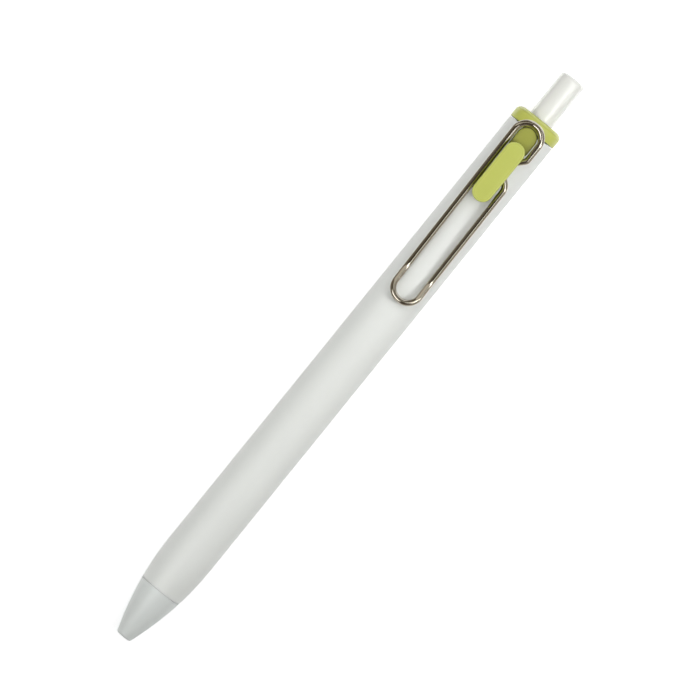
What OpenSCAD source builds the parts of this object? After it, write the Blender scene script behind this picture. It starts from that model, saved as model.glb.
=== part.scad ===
// Click gel pen with a bent-wire clip.
// Every sub-part is drawn standing on its writing end: Z runs from the nose tip to the button,
// the clip is on the -Y side and X points to the right of someone who looks at the clip.
// laid_flat() then lays the pen down: +X from nose to button, +Z through the clip.

/* [Barrel] */
// Outer diameter of the barrel
barrel_d = 10.4; // [10:0.1:11.2]
// Length of the barrel between the nose seam and the crown ring
barrel_len = 114.65; // [108:0.05:122]
// Wall of the middle of the barrel
barrel_wall = 1.6; // [1.45:0.05:1.7]
// Extra depth of the rear bore that seats the guide sleeve
rear_step = 0.3; // [0.2:0.05:0.4]
// Length of the taper, measured from the nose tip
ogive_len = 20.7; // [19:0.1:23]
// How much the radius falls along the taper
ogive_drop = 3.6; // [3.2:0.05:3.65]

/* [Nose] */
// Visible length of the nose cone
nose_len = 11.6; // [10.8:0.1:12.2]
// Rounding of the nose's tip edge
tip_round = 0.5; // [0.3:0.05:0.55]
// Diameter of the nose's spigot
spigot_d = 7.56; // [7.3:0.02:7.6]
// Length of the nose's spigot inside the barrel
spigot_len = 7; // [5.5:0.5:8]
// Depth of the spring seat behind the tip
spring_seat = 4.2; // [3.6:0.1:4.8]
// Diameter of the spring's bore in the nose
spring_bore_d = 4.9; // [4.7:0.05:5]
// Chamfer on each edge of a seam
seam = 0.12; // [0.06:0.02:0.2]

/* [Crown and button] */
// Length of the crown ring
crown_len = 2.95; // [2.6:0.05:4]
// Diameter of the crown ring
crown_d = 10.5; // [10.45:0.05:10.8]
// Rounding of the crown ring's rear edge
crown_round = 1.2; // [0.4:0.1:1.3]
// Length of the crown's spigot inside the barrel
crown_spigot = 7; // [6:0.5:8]
// Depth of the shoulder that stops the button, below the ring
stop_depth = 2.8; // [2:0.1:3.4]
// Diameter of the push button
button_d = 5.3; // [5:0.05:5.5]
// Length of button that stands out of the ring
button_out = 10.3; // [8.5:0.1:12]
// Rounding of the button's end
button_round = 0.7; // [0.4:0.1:1]
// Bore of the hollow button
button_bore = 3.5; // [3.2:0.05:3.7]
// Width of the button's stop flange
button_flange = 0.45; // [0.35:0.05:0.5]
// Thickness of the button's stop flange
flange_t = 1; // [0.8:0.1:1.3]

/* [Click mechanism] */
// Full travel of the button
press_travel = 6; // [5:0.1:6.5]
// Travel at which the click holds the refill out
latch_travel = 4.6; // [4:0.1:4.8]
// Number of guide grooves in the sleeve
groove_count = 4; // [3:1:5]
// Width of a guide groove
groove_w = 1.3; // [1:0.05:1.6]
// Diameter of the rotor's and plunger's cores
cam_core_d = 5.1; // [4.9:0.05:5.2]
// Diameter across the rotor's and plunger's ribs
cam_rib_d = 6.2; // [6.1:0.05:6.3]
// Number of crown teeth between plunger and rotor
tooth_count = 8; // [6:1:10]
// Height of a crown tooth
tooth_h = 0.8; // [0.5:0.05:1]
// Length of the rotor
rotor_len = 3.7; // [3.2:0.1:4.2]
// Length of the plunger's head
plunger_len = 10.4; // [9.9:0.1:11]
// Length of the plunger's stem inside the button
stem_len = 9.5; // [7:0.5:11]
// How far the sleeve reaches below the guide lands
sleeve_skirt = 5; // [3:0.5:7]

/* [Refill] */
// How far the writing ball is drawn in behind the nose tip
tip_recess = 1.6; // [1:0.1:2.2]
// Diameter of the metal tip
tip_d = 2.3; // [2.1:0.05:2.5]
// Length of the tip's cone
tip_cone = 2.8; // [2:0.1:3.4]
// Length of the tip's shank inside its holder
tip_shank = 3; // [2:0.1:4]
// Diameter of the writing ball
ball_d = 0.5; // [0.38:0.02:0.7]
// Diameter of the holder's neck
neck_d = 3.4; // [3:0.05:3.6]
// Outer diameter of the ink tube
tube_d = 5.9; // [5.6:0.05:6]
// Wall of the ink tube
tube_wall = 0.65; // [0.5:0.05:0.8]
// Place of the ink tube's front end, from the nose tip
tube_start = 18; // [17:0.1:19]
// Length of the column of ink
ink_len = 46; // [20:1:70]
// Length of the grease plug that follows the ink
follower_len = 5; // [3:0.5:8]
// Length of the tail plug's collar
plug_collar = 1.6; // [1:0.1:3]
// Width of the tail plug's post, which passes between the sleeve's lands
plug_post_d = 4.4; // [4:0.1:4.8]
// Diameter of the check ball that stops ink running back
check_d = 1.1; // [0.9:0.05:1.2]

/* [Springs] */
// Wire diameter of the return spring
spring_wire = 0.35; // [0.25:0.05:0.45]
// Outside diameter of the return spring
spring_d = 4.5; // [4.4:0.05:4.6]
// Number of coils in the return spring
spring_coils = 12; // [8:1:14]
// Wire diameter of the spring behind the writing ball
needle_wire = 0.12; // [0.08:0.01:0.15]
// Number of coils in the spring behind the writing ball
needle_coils = 12; // [6:1:16]

/* [Clip] */
// Diameter of the clip's wire
wire_d = 1.3; // [1:0.05:1.35]
// Height of the wire's centre above the pen's axis, at the plate
wire_h = 6.75; // [6.6:0.05:7]
// Height of the wire's centre where it rests against the barrel
wire_low = 5.55; // [5.5:0.05:5.7]
// Height of the wire's centre at the flared end of the loop
wire_flare = 6.6; // [6:0.1:7.5]
// Sideways place of the long left leg at the plate
left_top = -2.88; // [-2.96:0.02:-2.8]
// Sideways place of the long left leg at the loop
left_low = -2.34; // [-2.5:0.01:-2.2]
// Sideways place of the right leg at the crown
right_top = 2.92; // [2.9:0.02:3.2]
// Sideways place of the right leg at the loop
right_low = 3.38; // [3.24:0.01:3.5]
// How far the wire's top bow stands above the barrel's rear edge
bow_rise = 1.3; // [1:0.05:1.5]
// Length from the barrel's rear edge to the end of the loop
clip_reach = 42.1; // [38:0.05:46]
// Length of the flared end of the loop
flare_len = 7.2; // [5:0.1:9]
// Bend radius of the wire's top bow
bow_r = 2.9; // [2.6:0.05:2.9]
// Bend radius of the loop's end
loop_r = 2.8; // [2.2:0.02:2.84]
// Bend radius of the short end under the plate
hook_r = 0.85; // [0.8:0.05:1.2]
// Bend radius of the long end under the plate
sweep_r = 2.4; // [1.8:0.1:2.6]
// Inward run of the short end under the plate
hook_run = 1.9; // [1.4:0.1:2]
// Inward run of the long end under the plate
sweep_run = 2; // [1.5:0.1:2.2]

/* [Clip plate] */
// Width of the plate
plate_w = 4.2; // [4:0.05:4.4]
// Length of the plate
plate_len = 13.8; // [13:0.05:14.5]
// Thickness of the plate
plate_t = 1.3; // [1:0.05:1.6]
// Rounding of the plate's upper edge
plate_round = 0.4; // [0.2:0.05:0.6]
// Length from the barrel's rear edge to the plate's rear end
plate_back = 3.25; // [2.6:0.05:3.3]
// Diameter of the plate's pegs
peg_d = 1.1; // [0.8:0.05:1.2]
// Depth of the pegs in the clip base
peg_len = 1.5; // [1:0.1:2]
// Width of the boss inside the top bow
boss_w = 4.25; // [4:0.05:4.4]
// Height of the boss's top above the pen's axis
boss_h = 6.3; // [5.9:0.05:6.4]
// Rounding of the boss's upper edge
boss_round = 0.35; // [0.2:0.05:0.6]
// Width of the slot in the barrel
slot_w = 3.8; // [3.4:0.05:3.9]
// Extra width of the slot's undercut on each side
undercut = 0.75; // [0.5:0.05:0.9]
// Thickness of the foot that runs in the undercut
foot_t = 0.55; // [0.45:0.05:0.6]

/* [Clearances] */
// Radial play of a sliding fit
slide_fit = 0.07; // [0.04:0.01:0.1]
// Radial play of a pressed or snapped fit
press_fit = 0.02; // [0.01:0.005:0.03]
// Room kept ahead of a moving part at the end of its travel
end_room = 0.3; // [0.2:0.05:0.4]
// Room between the wire and what it passes
wire_room = 0.25; // [0.2:0.05:0.3]

/* [Hidden] */
eps = 0.01;
cut = 1;
ogive_steps = 28;
arc_steps = 6;
fn_round = 96;
fn_small = 40;
wire_sides = 20;
bend_step = 9;
coil_step = 16;
coil_sides = 8;
coil_pack = 1.05;
needle_step = 12;
needle_sides = 6;

// Stations along the pen
barrel_front = nose_len;
barrel_rear = nose_len + barrel_len;
crown_rear = barrel_rear + crown_len;
pen_len = crown_rear + button_out;
barrel_r = barrel_d / 2;
crown_r = crown_d / 2;

// Bores of the barrel
main_r = barrel_r - barrel_wall;
rear_r = main_r + rear_step;
socket_r = spigot_d / 2 + press_fit;
socket_end = barrel_front + spigot_len + end_room;

// Button and click mechanism, from the stop shoulder forwards
stop_z = barrel_rear - stop_depth;
flange_z = stop_z - flange_t;
flange_r = button_d / 2 + button_flange;
button_hole_r = button_d / 2 + slide_fit;
crown_front = barrel_rear - crown_spigot;
rib_r = cam_rib_d / 2;
core_r = cam_core_d / 2;
groove_r = rib_r + slide_fit + press_fit;
land_r = core_r + slide_fit + press_fit;
wide_r = max(groove_r, flange_r + slide_fit);
plunger_z = flange_z - plunger_len;
tooth_gap = 0.05;
tooth_root = core_r / 4;
rib_root = core_r / 2;
rotor_top = plunger_z - tooth_gap;
rotor_z = rotor_top - rotor_len;
land_top = flange_z - press_travel - end_room;
land_end = rotor_top - latch_travel;
sleeve_front = land_end - sleeve_skirt;
sleeve_r = rear_r - press_fit;
stem_r = button_bore / 2 - press_fit;
rib_w = groove_w - 2 * slide_fit;

// Refill
ball_r = ball_d / 2;
tip_r = tip_d / 2;
tip_hole_r = tip_r + slide_fit;
shank_step = 0.23;
shank_r = tip_r - shank_step;
ball_show = 0.3 * ball_d;
rim = 0.06;
tip_face = tip_recess + ball_show;
tube_r = tube_d / 2;
ink_r = tube_r - tube_wall;
collar_t = 0.8;
collar_z = tube_start - collar_t;
holder_z = spring_seat + press_travel + end_room;
plug_len = 3;
nose_step = collar_z - press_travel - 2 * end_room;
nose_bore_r = tube_r + 2 * slide_fit;
collar_end = min(land_end - end_room, rotor_z - end_room);
tail_z = collar_end - plug_collar;
ink_z = tube_start + plug_len + press_fit;
film = press_fit;
duct_r = 0.35;
check_r = check_d / 2;
check_room = 0.12;
check_z = tube_start - 2;
spring_end = collar_z - press_fit;
needle_r = 0.3;
feed_r = 0.15;
needle_z = tip_face + tip_cone;
needle_len = 5;
swing_r = [needle_r / 3, 0.8 * needle_r];
swing_turn = [0, 20, 45];

// Clip
bow_z = barrel_rear + bow_rise;
loop_z = barrel_rear - clip_reach;
plate_mid = -0.08;
plate_rear = barrel_rear - plate_back;
plate_front = plate_rear - plate_len;
pivot_back = 5.4;
pivot_z = plate_rear - pivot_back;
wire_r = wire_d / 2;
saddle_h = wire_h - wire_r - wire_room - press_fit * 2;
plate_under = wire_h + wire_r + wire_room;
plate_top = plate_under + plate_t;
base_w = slot_w - 2 * press_fit;
inset = 0.6;
base_setback = 1.4;
base_front = plate_front + base_setback;
boss_front = plate_rear - 2 * inset;
boss_rear = bow_z - wire_r - wire_room / 2;
boss_mid = -0.03;
post_right = 0.3;
post_w = base_w / 2 + post_right;
post_mid = (post_right - base_w / 2) / 2;
post_front = base_front + inset;
post_rear = plate_rear - inset;
peg_inset = 1.6;
peg_front = post_front + peg_inset;
peg_rear = post_rear - peg_inset;

// Route of the wire's centre: sideways place, station, height, and bend radius at that corner
contact_z = loop_z + flare_len;
lean = (wire_h - wire_low) / (pivot_z - contact_z);
bow_lean = 0.07;
loop_splay = 0.15;
leg_r = 12;
knee_r = 3;
right_knee = right_low - loop_splay;
hook_back = 1.85;
hook_slope = 1.1;
hook_z = plate_rear - hook_back;
sweep_back = 8.45;
sweep_slope = 0.825;
sweep_z = plate_rear - sweep_back;
sweep_x = (right_top + right_knee) / 2 - bow_lean;
sweep_rise = sweep_slope * sweep_run;
wire_route = [
    [right_top - hook_run, hook_z - hook_slope * hook_run, wire_h, 0],
    [right_top, hook_z, wire_h, hook_r],
    [right_top, bow_z, wire_h, bow_r],
    [left_top - bow_lean, bow_z, wire_h, bow_r],
    [left_top, pivot_z, wire_h, leg_r],
    [left_low - loop_splay, contact_z, wire_low, knee_r],
    [left_low, loop_z + wire_r, wire_flare, loop_r],
    [right_low, loop_z + wire_r, wire_flare, loop_r],
    [right_knee, contact_z, wire_low, knee_r],
    [sweep_x, sweep_z, wire_h - lean * (pivot_z - sweep_z), sweep_r],
    [sweep_x - sweep_run, sweep_z + sweep_rise, wire_h - lean * (pivot_z - sweep_z - sweep_rise), 0]
];

// ---------- shared geometry ----------

function unit(v) = v / norm(v);

// Radius and slope of the tapered outside at a station: a parabola that runs tangent into the barrel
function ogive_share(z) = max(ogive_len - z, 0) / ogive_len;
function ogive_r(z) = barrel_r - ogive_drop * pow(ogive_share(z), 2);
function ogive_slope(z) = atan(2 * ogive_drop * ogive_share(z) / ogive_len);

// Points along the taper between two stations, as radius and height
function ogive_points(z0, z1) = [
    for (i = [0 : ogive_steps])
        let (z = z0 + (z1 - z0) * i / ogive_steps)
            [ogive_r(z), z]
];

// Points on an arc about a centre, from one angle to another
function arc_points(centre, r, a0, a1) = [
    for (i = [0 : arc_steps])
        let (a = a0 + (a1 - a0) * i / arc_steps)
            [centre.x + r * cos(a), centre.y + r * sin(a)]
];

// Lays a part that stands on the nose tip down on the crown ring, clip upwards
module laid_flat() {
    translate([-pen_len / 2, 0, crown_r])
        rotate([-90, 0, -90])
            children();
}

module revolved(points) {
    rotate_extrude($fn = fn_round)
        polygon(points);
}

module tube(r_out, r_in, z0, z1) {
    revolved([[r_in, z0], [r_out, z0], [r_out, z1], [r_in, z1]]);
}

module rod(r, z0, z1) {
    translate([0, 0, z0])
        cylinder(r = r, h = z1 - z0, $fn = fn_round);
}

// A box on the clip side: width about x, from one height above the axis to another
module clip_side_box(x, w, h0, h1, z0, z1) {
    translate([x - w / 2, -h1, z0])
        cube([w, h1 - h0, z1 - z0]);
}

// A profile drawn in the tangent plane at +X, extruded outwards along X
module radial_prism(points, r0, r1) {
    translate([r0, 0, 0])
        rotate([90, 0, 90])
            linear_extrude(r1 - r0)
                polygon(points);
}

// A ring's place and the two directions across the wire, for each point of a route
function frame_at(p, t, e) = let (side = unit(e - (e * t) * t)) [p, side, cross(t, side)];

// Round wire swept through a list of such frames, as one closed solid
module swept_wire(frames, d, sides) {
    rings = len(frames);
    points = [
        for (f = frames)
            for (k = [0 : sides - 1])
                let (a = 360 * k / sides)
                    f[0] + d / 2 * (cos(a) * f[1] + sin(a) * f[2])
    ];
    walls = [
        for (i = [0 : rings - 2])
            for (k = [0 : sides - 1])
                let (j = (k + 1) % sides)
                    [i * sides + k, i * sides + j, (i + 1) * sides + j, (i + 1) * sides + k]
    ];
    first = [for (k = [sides - 1 : -1 : 0]) k];
    last = [for (k = [0 : sides - 1]) (rings - 1) * sides + k];
    polyhedron(points = points, faces = concat(walls, [first, last]));
}

// Height of a coil's wire after t turns: the first and last turns lie closed
function coil_lift(turns, wire, length, t) =
    let (closed = wire * coil_pack, open = (length - wire - 2 * closed) / (turns - 2))
        t < 1 ? closed * t
        : t > turns - 1 ? length - wire - closed * (turns - t)
        : closed + open * (t - 1);

// Radius, angle and height along a coil that stands on z0
function coil_route(turns, r, wire, z0, length, per_turn) = [
    for (i = [0 : turns * per_turn])
        let (t = i / per_turn)
            [r, 360 * t, z0 + wire / 2 + coil_lift(turns, wire, length, t)]
];

// Wire wound round the Z axis along points given by radius, angle and height
module wound_wire(route, d, sides) {
    places = [for (p = route) [p[0] * cos(p[1]), p[0] * sin(p[1]), p[2]]];
    last = len(route) - 1;
    swept_wire([
        for (i = [0 : last])
            let (t = unit(places[min(i + 1, last)] - places[max(i - 1, 0)]))
                frame_at(places[i], t, [cos(route[i][1]), sin(route[i][1]), 0])
    ], d, sides);
}

// V-shaped crown teeth that stand on the plane z = 0
module crown_teeth() {
    tooth_w = 2 * core_r * tan(180 / tooth_count);
    intersection() {
        translate([0, 0, -cut])
            cylinder(r = core_r, h = 2 * cut + tooth_h, $fn = fn_round);
        for (i = [0 : tooth_count - 1])
            rotate([0, 0, i * 360 / tooth_count])
                radial_prism(
                    [[-tooth_w / 2, -tooth_h / 2], [tooth_w / 2, -tooth_h / 2], [tooth_w / 2, 0],
                     [0, tooth_h], [-tooth_w / 2, 0]],
                    tooth_root, core_r + cut);
    }
}

// Guide ribs that run in the sleeve's grooves, with one end cut to the click's slant
module guide_ribs(z0, z1, slant) {
    intersection() {
        rod(rib_r, z0, z1);
        for (i = [0 : groove_count - 1])
            rotate([0, 0, i * 360 / groove_count])
                radial_prism(
                    [[-rib_w / 2, z0], [rib_w / 2, z0], [rib_w / 2, z1], [-rib_w / 2, z1 - slant]],
                    rib_root, rib_r + cut);
    }
}

// ---------- shell ----------

module barrel() {
    laid_flat()
        color("gainsboro")
            difference() {
                revolved(concat(
                    [[0, barrel_front], [ogive_r(barrel_front) - seam, barrel_front]],
                    ogive_points(barrel_front + seam, ogive_len),
                    [[barrel_r, barrel_rear - seam], [barrel_r - seam, barrel_rear], [0, barrel_rear]]));
                rod(socket_r, barrel_front - cut, socket_end);
                rod(main_r, barrel_front - cut, barrel_rear + cut);
                rod(rear_r, sleeve_front, barrel_rear + cut);
                clip_slot();
            }
}

// Open-ended slot for the clip base: narrow outside, undercut inside
module clip_slot() {
    clip_side_box(0, slot_w, 0, barrel_r + cut, base_front - press_fit, barrel_rear + cut);
    intersection() {
        rod(rear_r + foot_t + press_fit, base_front - press_fit, barrel_rear + cut);
        clip_side_box(0, slot_w + 2 * undercut, 0, barrel_r, base_front - press_fit, barrel_rear + cut);
    }
}

module nose_cone() {
    slope = ogive_slope(tip_round);
    edge = [ogive_r(tip_round), tip_round];
    centre = [edge.x - tip_round * cos(slope), tip_round];
    laid_flat()
        color("gainsboro")
            difference() {
                revolved(concat(
                    [[0, 0]],
                    arc_points(centre, tip_round, -90, -slope),
                    ogive_points(tip_round + seam, nose_len - seam),
                    [[ogive_r(nose_len) - seam, nose_len], [spigot_d / 2, nose_len],
                     [spigot_d / 2, nose_len + spigot_len - seam],
                     [spigot_d / 2 - seam, nose_len + spigot_len], [0, nose_len + spigot_len]]));
                rod(tip_hole_r, -cut, spring_seat + cut);
                rod(spring_bore_d / 2, spring_seat, nose_step + cut);
                rod(nose_bore_r, nose_step, nose_len + spigot_len + cut);
            }
}

// Crown ring with its spigot: guides the button and closes the slot
module crown_ring() {
    laid_flat()
        color("darkkhaki")
            revolved(concat(
                [[button_hole_r, stop_z], [wide_r, stop_z], [wide_r, crown_front], [sleeve_r, crown_front],
                 [sleeve_r, barrel_rear], [crown_r - seam, barrel_rear], [crown_r, barrel_rear + seam]],
                arc_points([crown_r - crown_round, crown_rear - crown_round], crown_round, 0, 90),
                [[button_hole_r + seam, crown_rear], [button_hole_r, crown_rear - seam]]));
}

// ---------- clip ----------

// Boss, foot and post on which the wire and the plate sit
module clip_base() {
    laid_flat()
        color("olive")
            difference() {
                union() {
                    clip_side_box(0, base_w, main_r, saddle_h, base_front, barrel_rear);
                    clip_side_box(0, base_w + 2 * undercut - 2 * press_fit, main_r, rear_r + foot_t,
                                  base_front, barrel_rear);
                    boss();
                    clip_side_box(post_mid, post_w, saddle_h - eps, plate_under, post_front, post_rear);
                }
                rod(rear_r + press_fit, base_front - cut, barrel_rear + cut);
                foot_relief();
                for (z = [peg_front, peg_rear])
                    peg(z, peg_d / 2 + press_fit, plate_under - peg_len - end_room, plate_under + cut);
            }
}

// Round-ended boss that stands on the barrel inside the wire's top bow
module boss() {
    difference() {
        rounded_slab(boss_mid, slab_edge(boss_w, main_r, boss_h, boss_round), boss_front, boss_rear, false);
        rod(barrel_r + press_fit, boss_front - cut, barrel_rear);
        rod(crown_r + press_fit, barrel_rear - eps, boss_rear + cut);
    }
}

// Clears the foot's wings from the wall above the undercut
module foot_relief() {
    difference() {
        for (side = [-1, 1])
            clip_side_box(side * (base_w / 2 + undercut), 2 * undercut, 0, barrel_r, base_front - cut,
                          barrel_rear);
        rod(rear_r + foot_t, base_front - 2 * cut, barrel_rear + cut);
        boss();
    }
}

module peg(z, r, h0, h1) {
    translate([post_mid, -h0, z])
        rotate([90, 0, 0])
            cylinder(r = r, h = h1 - h0, $fn = fn_small);
}

// Round-ended plate over the wire, with two pegs into the base
module clip_plate() {
    laid_flat()
        color("yellowgreen")
            union() {
                rounded_slab(plate_mid, slab_edge(plate_w, plate_under, plate_top, plate_round),
                             plate_front, plate_rear, true);
                for (z = [peg_front, peg_rear])
                    peg(z, peg_d / 2, plate_under - peg_len, plate_under + eps);
            }
}

// Half section of a slab on the clip side, from its middle to its rounded upper edge
function slab_edge(w, h0, h1, r) = concat(
    [[0, h0], [w / 2 - seam, h0], [w / 2, h0 + seam]],
    arc_points([w / 2 - r, h1 - r], r, 0, 90),
    [[0, h1]]);

// Slab on the clip side with a round rear end and, if asked, a round front end
module rounded_slab(x, section, z0, z1, round_front) {
    other_half = [for (i = [len(section) - 2 : -1 : 1]) [-section[i].x, section[i].y]];
    half = max([for (p = section) p.x]);
    start = round_front ? z0 + half : z0;
    straight = z1 - half - start;
    translate([x, 0, start])
        rotate([90, 0, 0]) {
            rotate([90, 0, 180])
                linear_extrude(straight)
                    polygon(concat(section, other_half));
            if (round_front)
                rotate([0, 0, 180])
                    rotate_extrude(angle = 180, $fn = fn_round)
                        polygon(section);
            translate([0, straight, 0])
                rotate_extrude(angle = 180, $fn = fn_round)
                    polygon(section);
        }
}

// One length of round wire bent round the corners of wire_route
function corner(i) = [wire_route[i][0], -wire_route[i][2], wire_route[i][1]];
function heading(i) = unit(corner(i + 1) - corner(i));

// Frames along one bend, or the single frame at an end of the wire
function bend_frames(i) =
    let (last = len(wire_route) - 1)
        i == 0 ? [frame_at(corner(0), heading(0), [0, 1, 0])]
        : i == last ? [frame_at(corner(last), heading(last - 1), [0, 1, 0])]
        : let (
            u = heading(i - 1),
            v = heading(i),
            turn = acos(u * v),
            r = wire_route[i][3],
            inward = unit(v - (v * u) * u),
            centre = corner(i) - u * r * tan(turn / 2) + inward * r,
            steps = ceil(turn / bend_step)
        )
            [for (k = [0 : steps])
                let (
                    a = turn * k / steps,
                    place = centre + r * (u * sin(a) - inward * cos(a))
                )
                    frame_at(place, u * cos(a) + inward * sin(a), [0, 1, 0])];

module clip_wire() {
    laid_flat()
        color("silver")
            swept_wire([for (i = [0 : len(wire_route) - 1]) each bend_frames(i)], wire_d, wire_sides);
}

// ---------- button and click mechanism ----------

module knock_button() {
    r = button_d / 2;
    laid_flat()
        color("white")
            revolved(concat(
                [[button_bore / 2, flange_z], [flange_r, flange_z], [flange_r, stop_z], [r, stop_z]],
                arc_points([r - button_round, pen_len - button_round], button_round, 0, 90),
                [[0, pen_len], [0, flange_z + stem_len + end_room],
                 [button_bore / 2, flange_z + stem_len + end_room]]));
}

module cam_plunger() {
    laid_flat()
        color("whitesmoke")
            difference() {
                union() {
                    rod(core_r, plunger_z, flange_z);
                    guide_ribs(plunger_z + tooth_h, land_top - end_room, 0);
                    rod(stem_r, flange_z - eps, flange_z + stem_len);
                }
                translate([0, 0, plunger_z])
                    crown_teeth();
            }
}

module cam_rotor() {
    laid_flat()
        color("dimgray")
            union() {
                rod(core_r, rotor_z, rotor_top);
                guide_ribs(rotor_z, rotor_top, tooth_h);
                translate([0, 0, rotor_top])
                    crown_teeth();
            }
}

// Sleeve with guide grooves: the slanted ends of its lands catch the rotor
module cam_sleeve() {
    land_step = 360 / groove_count;
    laid_flat()
        color("lightgray")
            difference() {
                rod(sleeve_r, sleeve_front, crown_front);
                rod(land_r, sleeve_front - cut, crown_front + cut);
                rod(groove_r, sleeve_front - cut, land_end);
                rod(wide_r, land_top, crown_front + cut);
                intersection() {
                    rod(groove_r, sleeve_front, crown_front);
                    for (i = [0 : groove_count - 1])
                        rotate([0, 0, i * land_step]) {
                            radial_prism(
                                [[-groove_w / 2, land_end - cut], [groove_w / 2, land_end - cut],
                                 [groove_w / 2, crown_front], [-groove_w / 2, crown_front]],
                                rib_root, groove_r + cut);
                            rotate([0, 0, land_step / 2])
                                radial_prism(
                                    [[-groove_w, land_end - cut], [groove_w, land_end - cut],
                                     [groove_w, land_end], [-groove_w, land_end + tooth_h]],
                                    rib_root, groove_r + cut);
                        }
                }
            }
}

// ---------- refill ----------

module return_spring() {
    laid_flat()
        color("lightsteelblue")
            wound_wire(
                coil_route(spring_coils, (spring_d - spring_wire) / 2, spring_wire,
                           spring_seat + press_fit, spring_end - spring_seat - press_fit, coil_step),
                spring_wire, coil_sides);
}

module refill_tube() {
    laid_flat()
        color("aliceblue")
            tube(tube_r, ink_r, tube_start, tail_z);
}

module ink_column() {
    laid_flat()
        color("black")
            rod(ink_r - film, ink_z, ink_z + ink_len);
}

module ink_follower() {
    laid_flat()
        color("palegoldenrod")
            rod(ink_r - film, ink_z + ink_len, ink_z + ink_len + follower_len);
}

module refill_tail_plug() {
    laid_flat()
        color("dimgray")
            revolved([[duct_r, tail_z - plug_len], [ink_r - film, tail_z - plug_len], [ink_r - film, tail_z],
                      [tube_r, tail_z], [tube_r, collar_end], [plug_post_d / 2, collar_end],
                      [plug_post_d / 2, rotor_z], [duct_r, rotor_z]]);
}

// Plastic holder between tube and tip: collar for the spring, chamber for the check ball
module refill_tip_holder() {
    laid_flat()
        color("white")
            difference() {
                revolved([[0, holder_z], [neck_d / 2 - seam, holder_z], [neck_d / 2, holder_z + seam],
                          [neck_d / 2, collar_z], [tube_r, collar_z], [tube_r, tube_start],
                          [ink_r - film, tube_start], [ink_r - film, tube_start + plug_len],
                          [0, tube_start + plug_len]]);
                rod(shank_r + press_fit, holder_z - cut, holder_z + tip_shank);
                rod(duct_r, holder_z, tube_start + plug_len + cut);
                rod(check_r + check_room, check_z, check_z + check_d + 2 * check_room);
            }
}

module refill_tip() {
    spring_room = needle_z + needle_len + 2 * needle_wire + press_fit;
    laid_flat()
        color("lightslategray")
            difference() {
                revolved([[0, tip_face], [ball_r + rim, tip_face], [tip_r, tip_face + tip_cone],
                          [tip_r, holder_z], [shank_r, holder_z],
                          [shank_r, holder_z + tip_shank - press_fit],
                          [0, holder_z + tip_shank - press_fit]]);
                translate([0, 0, tip_recess + ball_r])
                    sphere(r = ball_r + press_fit, $fn = fn_round);
                rod(feed_r, tip_recess + ball_r, needle_z + eps);
                rod(needle_r + needle_wire, needle_z, spring_room);
                rod(needle_r - needle_wire / 2, spring_room - eps, holder_z + tip_shank + cut);
            }
}

module writing_ball() {
    laid_flat()
        color("gray")
            translate([0, 0, tip_recess + ball_r])
                sphere(r = ball_r, $fn = fn_small);
}

// Fine spring whose straight front end, the needle, presses the ball against its rim
module ball_spring() {
    front = tip_recess + ball_d + press_fit;
    needle_route = [
        [0, 0, front], [0, 0, (front + needle_z) / 2], [0, 0, needle_z],
        [swing_r[0], swing_turn[0], needle_z + needle_wire],
        [swing_r[1], swing_turn[1], needle_z + 2 * needle_wire]
    ];
    laid_flat()
        color("silver")
            wound_wire(
                concat(needle_route, [
                    for (p = coil_route(needle_coils, needle_r, needle_wire, needle_z + 2 * needle_wire,
                                        needle_len, needle_step))
                        [p[0], p[1] + swing_turn[2], p[2]]
                ]), needle_wire, needle_sides);
}

module check_ball() {
    laid_flat()
        color("gray")
            translate([0, 0, check_z + check_r + check_room])
                sphere(r = check_r, $fn = fn_small);
}

barrel();
nose_cone();
crown_ring();
clip_base();
clip_plate();
clip_wire();
knock_button();
cam_plunger();
cam_rotor();
cam_sleeve();
return_spring();
refill_tube();
ink_column();
ink_follower();
refill_tail_plug();
refill_tip_holder();
refill_tip();
writing_ball();
ball_spring();
check_ball();
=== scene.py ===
"""Click gel pen with a bent-wire clip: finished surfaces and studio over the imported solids.

The pen lies along X with the nose at -X, on the plane Z = 0, clip upwards. Shapes are worked out
in pen coordinates: z is the distance from the nose tip, x points to the right of someone who
looks at the clip with the button on top, and h is the height above the pen's axis.
"""

import bmesh
import bpy
import numpy as np
from bpy.props import FloatProperty, FloatVectorProperty, IntProperty, PointerProperty
from mathutils import Matrix, Vector


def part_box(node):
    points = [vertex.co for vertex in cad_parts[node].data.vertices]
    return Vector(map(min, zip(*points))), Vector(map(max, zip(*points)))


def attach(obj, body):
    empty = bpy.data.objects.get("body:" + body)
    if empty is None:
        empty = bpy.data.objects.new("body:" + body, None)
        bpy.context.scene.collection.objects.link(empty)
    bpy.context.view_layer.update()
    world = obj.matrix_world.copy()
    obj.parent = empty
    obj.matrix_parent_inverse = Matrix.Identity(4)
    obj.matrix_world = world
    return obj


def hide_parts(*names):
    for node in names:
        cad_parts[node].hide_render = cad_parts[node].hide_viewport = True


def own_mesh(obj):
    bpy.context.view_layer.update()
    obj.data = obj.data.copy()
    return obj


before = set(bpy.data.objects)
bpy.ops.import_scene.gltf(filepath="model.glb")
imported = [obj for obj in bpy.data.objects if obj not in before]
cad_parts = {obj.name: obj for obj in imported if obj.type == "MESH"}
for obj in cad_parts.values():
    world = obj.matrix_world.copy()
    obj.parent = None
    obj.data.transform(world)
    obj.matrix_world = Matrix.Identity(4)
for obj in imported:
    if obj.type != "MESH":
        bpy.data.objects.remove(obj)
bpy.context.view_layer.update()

bl_info = {
    "name": "Gel pen with a wire clip",
    "version": (1, 0, 0),
    "blender": (4, 5, 0),
    "location": "3D View > Sidebar > Gel pen",
    "description": "Builds the finished surfaces of a click gel pen and its studio",
    "category": "Add Mesh",
}

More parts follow.
